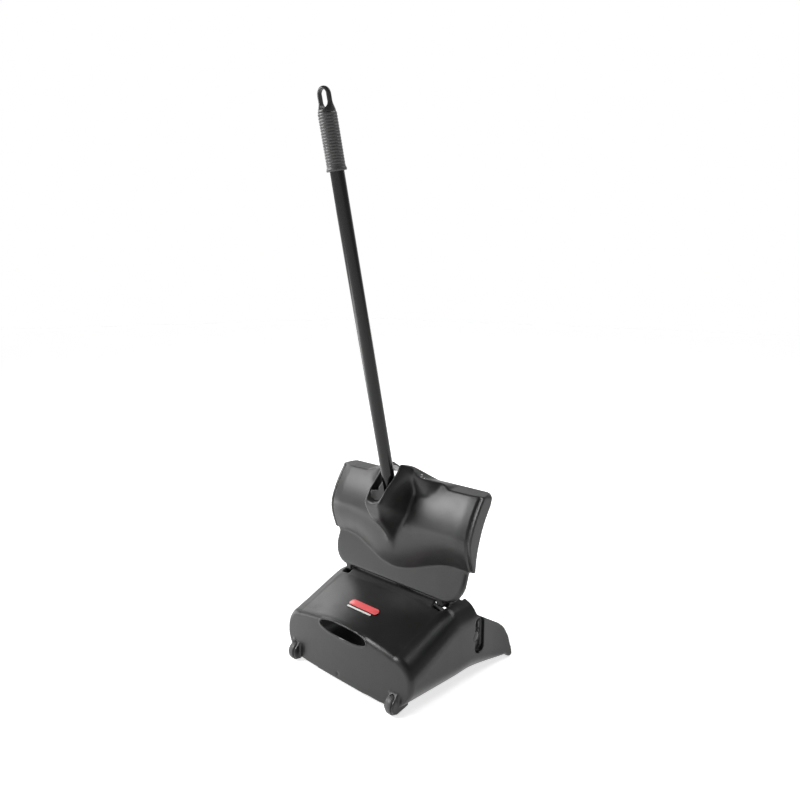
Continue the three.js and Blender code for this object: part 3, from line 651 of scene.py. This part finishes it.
def swept(name, route, section):
    """Section of (v, w) points swept along a route in the local XZ plane; v lies along Y."""
    route = np.asarray(route, float)
    tangent = np.gradient(route, axis=0)
    tangent /= np.linalg.norm(tangent, axis=1)[:, None]
    rings = []
    for (x, z), (tx, tz) in zip(route, tangent):
        rings.append(np.array([(x - w * tz, v, z + w * tx) for v, w in section]))
    return loft(name, rings)


def eased_route(points, count, rounds):
    points = np.asarray(points, float)
    t = np.linspace(0, len(points) - 1, count)
    index = np.arange(len(points))
    route = np.column_stack([np.interp(t, index, points[:, 0]), np.interp(t, index, points[:, 1])])
    for _ in range(rounds):
        route[1:-1] = 0.25 * route[:-2] + 0.5 * route[1:-1] + 0.25 * route[2:]
    return route


def yoke():
    half = [(132.4, 2), (132.2, 13), (122, 29), (98, 44), (62, 50)]
    route = eased_route(mirror_x(half) + [(0, 51)] + half[::-1], 120, 8)
    parts = [swept("arm", route, rounded(0, 0, 13, 9.6, 3.5, 6))]
    for side in (1, -1):
        parts.append(bar("hub", 13, *ends(side, YOKE_HALF - 10, YOKE_HALF), edge=1.2))
        gusset = [(side * 10, 40), (side * 52, 48), (side * 10, 82)]
        parts.append(prism("gusset", gusset, "Y", -3, 3))
    parts.append(bar("socket", SOCKET_RADIUS, 36, SOCKET_TOP, "Z", 1.2))
    parts.append(prism("heel", [(-5, 10), (5, 10), (5, 45), (-5, 45)], "Z", 50, 72))
    edge = MOUTH_REAR_Y - GAP
    stop = prism("stop", [(edge, 60), (220, 60), (220, 220), (edge, 220)], "X", -20, 20)
    stop.data.transform(HANDLE_PLACE.inverted())
    parts[-1] = cut(parts[-1], stop)
    body = mould(merge("yoke", parts), 1.0, 3)
    bores = [bar("bore", TUBE_RADIUS + GAP, TUBE_FOOT - GAP, SOCKET_TOP + 5, "Z", 0.1)]
    bores.append(bar("bolt", 2.8, -30, 30, edge=0.1))
    shifted(bores[-1], 0, 0, BOLT_AT)
    for side in (1, -1):
        bores.append(bar("eye", PIVOT_RADIUS + GAP, *ends(side, 118, 150), edge=0.1))
    return cut(body, *bores)


def yoke_pin(side):
    return merge("pin", [
        bar("shank", PIVOT_RADIUS, *ends(side, YOKE_HALF - 14, 144)),
        bar("head", 8.5, *ends(side, 142.5 + GAP, 147.5), edge=1.2),
    ])


def ring(name, outer, inner, low, high, axis="X", edge=0.5):
    profile = [(inner, low + 0.2), (inner + 0.2, low), (outer - edge, low), (outer, low + edge),
               (outer, high - edge), (outer - edge, high), (inner + 0.2, high), (inner, high - 0.2),
               (inner, low + 0.2)]
    return turned(name, profile, axis)


def handle_tube():
    e = 0.4
    profile = [(TUBE_BORE, TUBE_FOOT + e), (TUBE_BORE + e, TUBE_FOOT), (TUBE_RADIUS - e, TUBE_FOOT),
               (TUBE_RADIUS, TUBE_FOOT + e), (TUBE_RADIUS, 300)]
    profile += [(TUBE_RADIUS, 560), (TUBE_RADIUS, TUBE_TOP - e), (TUBE_RADIUS - e, TUBE_TOP)]
    profile += [(TUBE_BORE + e, TUBE_TOP), (TUBE_BORE, TUBE_TOP - e), profile[0]]
    return turned("tube", profile, "Z", 96)


def grip():
    """Sleeve with soft ribs and a slightly flared foot."""
    ribs = 17
    bore = TUBE_RADIUS + GAP
    foot, top = GRIP_FOOT, GRIP_TOP
    start, stop = foot + 7.5, top - 2.5
    pitch = (stop - start) / ribs
    profile = [(bore, foot + 0.6), (bore + 0.6, foot), (GRIP_RADIUS + 0.5, foot),
               (GRIP_RADIUS + 1.15, foot + 0.8), (GRIP_RADIUS + 1.3, foot + 2.2),
               (GRIP_RADIUS + 0.9, foot + 4), (GRIP_RADIUS, foot + 6)]
    for i in range(ribs):
        for k in range(12):
            t = k / 12
            dip = 0.42 * (0.5 - 0.5 * math.cos(2 * math.pi * t)) ** 2
            profile.append((GRIP_RADIUS - dip, start + (i + t) * pitch))
    profile += [(GRIP_RADIUS, stop), (GRIP_RADIUS - 0.2, top - 0.8), (GRIP_RADIUS - 0.9, top), (bore, top)]
    profile.append(profile[0])
    return turned("grip", profile, "Z", 72)


def cap_ring(z):
    """Cross-section of the cap: round at its foot, flattened and domed at its top."""
    shoulder = CAP_TOP - 12
    up = float(smoothstep(GRIP_TOP, GRIP_TOP + 15, z))
    dome = math.sqrt(1 - float(clamp01((z - shoulder) / 12.05)) ** 2)
    ease = 0.5 * float(clamp01((GRIP_TOP + GAP + 0.8 - z) / 0.8))
    across, deep = (mix(13.4, 12.2, up) - ease) * dome, (mix(13.4, 5.5, up) - ease) * math.sqrt(dome)
    angles = np.linspace(0, 2 * math.pi, 72, endpoint=False)
    return np.column_stack([across * np.cos(angles), deep * np.sin(angles), np.full(72, z)])


def hang_cap():
    """Plug in the tube that flattens into a loop; it sits turned a little on the handle."""
    foot = GRIP_TOP + GAP
    heights = [foot, foot + 0.4, foot + 0.8] + list(np.arange(foot + 2, CAP_TOP - 12, 1.5))
    heights += [CAP_TOP - 12 + 12 * math.sin(a) for a in np.linspace(0, math.pi / 2, 14)]
    loop = cut(loft("loop", [cap_ring(z) for z in heights]),
               prism("hole", rounded(0, GRIP_TOP + 18, 14, 27, 6.9, 16), "Y", -20, 20))
    spigot = bar("spigot", TUBE_BORE - GAP, GRIP_TOP - 24, GRIP_TOP + 3, "Z", 0.5)
    body = mould(merge("cap", [spigot, loop]), 0.6, 3)
    body.data.transform(Matrix.Rotation(CAP_TURN, 4, "Z"))
    return body


def wheel():
    r, h, bore = WHEEL_RADIUS, WHEEL_WIDTH / 2, AXLE_RADIUS + GAP
    tread = [(r - 1.6, h), (r - 0.7, h - 0.35), (r - 0.15, h - 1.3), (r, h - 2.6)]
    face = [(bore, h - 0.3), (bore + 0.3, h), (5.2, h), (5.6, h - 0.4), (6.3, h - 2), (10.8, h - 2),
            (11.5, h - 0.4), (11.9, h)]
    half = face + tread
    profile = half + [(p, -q) for p, q in reversed(half)] + [half[0]]
    return turned("wheel", profile, "X", 80)


def hinge_pin(side):
    web = LUG_OUTER + GAP + 4.5
    return merge("pin", [
        bar("shank", HINGE_RADIUS, *ends(side, LUG_INNER - 3, web + 2)),
        bar("head", 5, *ends(side, web + GAP, web + 2.8), edge=0.9),
        bar("rivet", 5, *ends(side, LUG_INNER - 3, LUG_INNER - GAP), edge=0.9),
    ])


def roof_plate(name, width, depth, radius, x, y, lift):
    """Thin plate that follows the pan's roof."""
    outline = rounded(0, 0, width, depth, radius, 10)
    rings = []
    top = GAP + lift
    for scale, height in ((1.0, GAP), (1.0, top - 0.3), (0.985, top), (0.6, top), (0.2, top)):
        ring_points = []
        for u, v in outline:
            px, py = x + u * scale, y + v * scale
            ring_points.append((px, py, roof_height(px, py) + height))
        rings.append(np.array(ring_points))
    return loft(name, rings)


def roof_height(x, y):
    f = forwardness(y)
    flat = PAN_HALF - mix(38, 36, f)
    return mix(ROOF_REAR, ROOF_FRONT, f) + mix(15, 3, f) * (1 - (x / flat) ** 2)


# ---------------------------------------------------------------------- materials


class Shader:
    """Short helpers round one material's node tree."""

    def __init__(self, name, **sockets):
        self.material = bpy.data.materials.new(name)
        self.material.use_nodes = True
        self.nodes = self.material.node_tree.nodes
        self.links = self.material.node_tree.links
        self.surface = self.nodes["Principled BSDF"]
        for key, value in sockets.items():
            self.surface.inputs[key.replace("_", " ").title().replace("Ior", "IOR")].default_value = value
        self.place = self.nodes.new("ShaderNodeTexCoord").outputs["Object"]

    def add(self, kind, inputs=None, **settings):
        node = self.nodes.new(kind)
        for key, value in settings.items():
            setattr(node, key, value)
        for key, value in (inputs or {}).items():
            if hasattr(value, "is_linked"):
                self.links.new(value, node.inputs[key])
            else:
                node.inputs[key].default_value = value
        return node

    def noise(self, scale, detail=2.0, roughness=0.5, stretch=None):
        vector = self.place
        if stretch:
            vector = self.add("ShaderNodeMapping", {"Vector": self.place, "Scale": stretch}).outputs["Vector"]
        return self.add("ShaderNodeTexNoise", {"Vector": vector, "Scale": scale, "Detail": detail,
                                               "Roughness": roughness}).outputs["Fac"]

    def spread(self, value, low, high, out_low, out_high):
        return self.add("ShaderNodeMapRange", {"Value": value, "From Min": low, "From Max": high,
                                               "To Min": out_low, "To Max": out_high}).outputs["Result"]

    def blend(self, factor, first, second):
        node = self.add("ShaderNodeMix", {}, data_type="RGBA")
        self.links.new(factor, node.inputs[0])
        node.inputs[6].default_value = first
        if hasattr(second, "is_linked"):
            self.links.new(second, node.inputs[7])
        else:
            node.inputs[7].default_value = second
        return node.outputs[2]

    def bump(self, height, distance, strength, chained=None):
        inputs = {"Height": height, "Distance": distance, "Strength": strength}
        if chained is not None:
            inputs["Normal"] = chained
        return self.add("ShaderNodeBump", inputs).outputs["Normal"]

    def feed(self, socket, value):
        self.links.new(value, self.surface.inputs[socket])


def grey(value, warmth=0.0):
    return (value * (1 + warmth), value, value * (1 - warmth), 1)


def moulded_plastic(name, shade, rough, grain=0.00012, gloss=0.36):
    """Textured injection moulding: fine grain, faint cloudiness and rubbed patches."""
    m = Shader(name, base_color=grey(shade), specular_ior_level=gloss)
    cloud = m.noise(9, 3)
    rubbed = m.spread(m.noise(38, 5, 0.6, (1, 1, 0.4)), 0.5, 0.75, 0, 1)
    tone = m.blend(cloud, grey(shade * 0.86), grey(shade * 1.14, 0.01))
    m.feed("Base Color", tone)
    m.feed("Roughness", m.spread(rubbed, 0, 1, rough, rough + 0.09))
    fine = m.noise(1400, 2, 0.6)
    swell = m.noise(60, 2, 0.4)
    first = m.bump(swell, 0.0004, 0.12)
    m.feed("Normal", m.bump(fine, grain, 0.55, first))
    return m.material


def coated_tube():
    """Gloss black coating with slight orange peel and hairline scuffs."""
    m = Shader("tube_paint", base_color=grey(0.003), specular_ior_level=0.35)
    scuffs = m.spread(m.noise(260, 6, 0.7, (1, 1, 0.02)), 0.62, 0.8, 0, 1)
    m.feed("Base Color", m.blend(scuffs, grey(0.003), grey(0.014)))
    m.feed("Roughness", m.spread(m.noise(30, 4, 0.6, (1, 1, 0.1)), 0.3, 0.8, 0.14, 0.26))
    m.feed("Normal", m.bump(m.noise(420, 2, 0.5), 0.00004, 0.25))
    return m.material


def plated_steel():
    m = Shader("steel", base_color=(0.55, 0.56, 0.57, 1), metallic=1.0, roughness=0.32)
    m.feed("Roughness", m.spread(m.noise(500, 4, 0.6, (0.05, 1, 1)), 0.3, 0.8, 0.24, 0.42))
    m.feed("Normal", m.bump(m.noise(900, 3, 0.6, (0.05, 1, 1)), 0.00003, 0.4))
    return m.material


def printed(name, color, rough=0.38):
    """Printed label under a thin clear layer."""
    m = Shader(name, base_color=color, specular_ior_level=0.5, coat_weight=0.3, coat_roughness=0.2)
    faded = tuple(0.8 * c + 0.03 for c in color[:3]) + (1,)
    m.feed("Base Color", m.blend(m.spread(m.noise(160, 5, 0.6), 0.45, 0.8, 0, 1), color, faded))
    m.feed("Roughness", m.spread(m.noise(90, 3), 0.3, 0.8, rough - 0.06, rough + 0.12))
    m.feed("Normal", m.bump(m.noise(700, 2), 0.00003, 0.3))
    return m.material


MATERIALS = {
    "pan_plastic": moulded_plastic("pan_plastic", 0.011, 0.28, gloss=0.36),
    "cover_plastic": moulded_plastic("cover_plastic", 0.012, 0.33, gloss=0.42),
    "wheel_plastic": moulded_plastic("wheel_plastic", 0.05, 0.4),
    "grip_plastic": moulded_plastic("grip_plastic", 0.03, 0.4, 0.0001, gloss=0.5),
    "cap_plastic": moulded_plastic("cap_plastic", 0.016, 0.34, 0.00006),
    "tube_paint": coated_tube(),
    "steel": plated_steel(),
    "badge_red": printed("badge_red", (0.72, 0.085, 0.09, 1)),
    "badge_pale": printed("badge_pale", (0.6, 0.6, 0.58, 1)),
}


# ----------------------------------------------------------------------- assembly


def assemble():
    def piece(obj, name, body, slot, replaced, local=None, degrees=35):
        finish_piece(obj, name, body, MATERIALS[slot], replaced, local, degrees)

    piece(pan_body(), "hooded_pan", "pan", "pan_plastic", ["pan_body"])
    piece(cover_shell(), "cover_lid", "cover", "cover_plastic", ["cover_shell"], COVER_PLACE)
    piece(yoke(), "handle_yoke", "handle", "pan_plastic", ["yoke"], HANDLE_PLACE)
    plate = roof_plate("plate", 66, 12, 5.5, 0, 217, 1.1)
    piece(plate, "badge", "pan", "badge_red", ["badge_plate"])
    strip = roof_plate("strip", 56, 2.6, 1.2, 2, 227.5, 1.1)
    piece(strip, "badge_line", "pan", "badge_pale", ["badge_strip"])
    for label, side in (("left", 1), ("right", -1)):
        at = side * WHEEL_X
        rolling = shifted(wheel(), at, WHEEL_Y, WHEEL_RADIUS)
        piece(rolling, f"rolling_wheel_{label}", f"{label}_wheel", "wheel_plastic", [f"wheel_{label}"])
        axle = shifted(bar("axle", AXLE_RADIUS, -AXLE_HALF, AXLE_HALF, edge=0.4), at, WHEEL_Y, WHEEL_RADIUS)
        piece(axle, f"axle_{label}", "pan", "steel", [f"wheel_axle_{label}"])
        pin = shifted(hinge_pin(side), 0, HINGE_Y, HINGE_Z)
        piece(pin, f"hinge_pin_{label}", "pan", "steel", [f"cover_hinge_pin_{label}"])
        pin = yoke_pin(side)
        piece(pin, f"pivot_pin_{label}", "handle", "tube_paint", [f"yoke_pin_{label}"], HANDLE_PLACE)
        clip = ring("clip", 9, PIVOT_RADIUS + GAP, *ends(side, YOKE_HALF - 13, YOKE_HALF - 10 - GAP))
        piece(clip, f"pivot_clip_{label}", "handle", "steel", [f"yoke_clip_{label}"], HANDLE_PLACE)
    piece(handle_tube(), "long_tube", "handle", "tube_paint", ["handle_tube"], HANDLE_PLACE)
    bolt = merge("bolt", [
        bar("shank", 2.5, -21.5, 17, edge=0.4),
        bar("head", 5, SOCKET_RADIUS + GAP, SOCKET_RADIUS + 3.5, edge=1.0),
    ])
    piece(shifted(bolt, 0, 0, BOLT_AT), "cross_bolt", "handle", "steel", ["handle_bolt"], HANDLE_PLACE)
    hexagon = [(5 * math.cos(a), 5 * math.sin(a)) for a in np.radians(np.arange(0, 360, 60))]
    nut = prism("nut", hexagon, "X", -SOCKET_RADIUS - 4.5, -SOCKET_RADIUS - GAP)
    nut = cut(nut, bar("bore", 2.8, -40, 0))
    piece(shifted(nut, 0, 0, BOLT_AT), "cross_nut", "handle", "steel", ["handle_nut"], HANDLE_PLACE)
    piece(grip(), "ribbed_grip", "handle", "grip_plastic", ["grip_sleeve"], HANDLE_PLACE)
    piece(hang_cap(), "hanging_cap", "handle", "cap_plastic", ["hang_cap"], HANDLE_PLACE)


assemble()

# ------------------------------------------------------- floor, light and camera


def area_light(name, place, target, size, power, size_y=None):
    data = bpy.data.lights.new(name, "AREA")
    data.shape = "RECTANGLE"
    data.size = size
    data.size_y = size_y or size
    data.energy = power
    obj = bpy.data.objects.new(name, data)
    obj.location = place
    obj.rotation_euler = (Vector(target) - Vector(place)).to_track_quat("-Z", "Y").to_euler()
    obj.visible_camera = False
    bpy.context.scene.collection.objects.link(obj)


def stage():
    mesh = bpy.data.meshes.new("floor")
    size = 12
    corners = [(-size, -size, 0), (size, -size, 0), (size, size, 0), (-size, size, 0)]
    mesh.from_pydata(corners, [], [(0, 1, 2, 3)])
    floor = bpy.data.objects.new("floor", mesh)
    bpy.context.scene.collection.objects.link(floor)
    m = Shader("floor_white", base_color=(0.9, 0.9, 0.9, 1), roughness=0.6)
    m.surface.inputs["Emission Color"].default_value = (1, 1, 1, 1)
    m.surface.inputs["Emission Strength"].default_value = 0.7
    m.feed("Roughness", m.spread(m.noise(3, 3), 0, 1, 0.55, 0.7))
    mesh.materials.append(m.material)
    world = bpy.data.worlds.new("studio")
    world.use_nodes = True
    tree = world.node_tree
    # A lit backdrop: white near the horizon, dim overhead and on the side away from the backdrop.
    direction = tree.nodes.new("ShaderNodeTexCoord").outputs["Generated"]
    split = tree.nodes.new("ShaderNodeSeparateXYZ")
    tree.links.new(direction, split.inputs[0])
    glow = []
    fades = (("Z", 0.46, 0.62, 1.0, 0.1), ("X", -0.5, 0.15, 0.35, 1.0))
    for axis, low, high, at_low, at_high in fades:
        ramp = tree.nodes.new("ShaderNodeMapRange")
        ramp.interpolation_type = "SMOOTHSTEP"
        ends_of_ramp = {"From Min": low, "From Max": high, "To Min": at_low, "To Max": at_high}
        for key, value in ends_of_ramp.items():
            ramp.inputs[key].default_value = value
        tree.links.new(split.outputs[axis], ramp.inputs["Value"])
        glow.append(ramp.outputs["Result"])
    both = tree.nodes.new("ShaderNodeMath")
    both.operation = "MULTIPLY"
    tree.links.new(glow[0], both.inputs[0])
    tree.links.new(glow[1], both.inputs[1])
    tree.links.new(both.outputs[0], tree.nodes["Background"].inputs["Strength"])
    tree.nodes["Background"].inputs["Color"].default_value = (1, 1, 1, 1)
    bpy.context.scene.world = world


def camera():
    data = bpy.data.cameras.new("camera")
    data.sensor_width = 36
    data.lens = 36 * 679.7 / 800
    obj = bpy.data.objects.new("camera", data)
    yaw, pitch, roll = math.radians(42.9), math.radians(8.857), math.radians(0.41)
    forward = Vector((math.sin(yaw) * math.cos(pitch), -math.cos(yaw) * math.cos(pitch), -math.sin(pitch)))
    turn = forward.to_track_quat("-Z", "Y") @ Matrix.Rotation(roll, 3, "Z").to_quaternion()
    obj.rotation_mode = "QUATERNION"
    obj.rotation_quaternion = turn
    obj.location = PLACE @ Vector((-777.0, 968.0, 639.5))
    data.clip_end = 50
    bpy.context.scene.collection.objects.link(obj)
    bpy.context.scene.camera = obj


stage()
camera()
CENTRE = (0, 0, 0.3)
area_light("key", (1.3, 1.5, 1.7), CENTRE, 1.3, 58, size_y=1.1)
area_light("top", (-0.7, -0.9, 2.4), CENTRE, 1.2, 22)
area_light("window", (2.1, -0.25, 1.3), CENTRE, 1.9, 14, size_y=0.8)
area_light("low_left", (1.25, 0.75, 0.06), (0, 0, 0.6), 1.4, 6, size_y=0.4)
bpy.context.scene.view_settings.view_transform = "Standard"
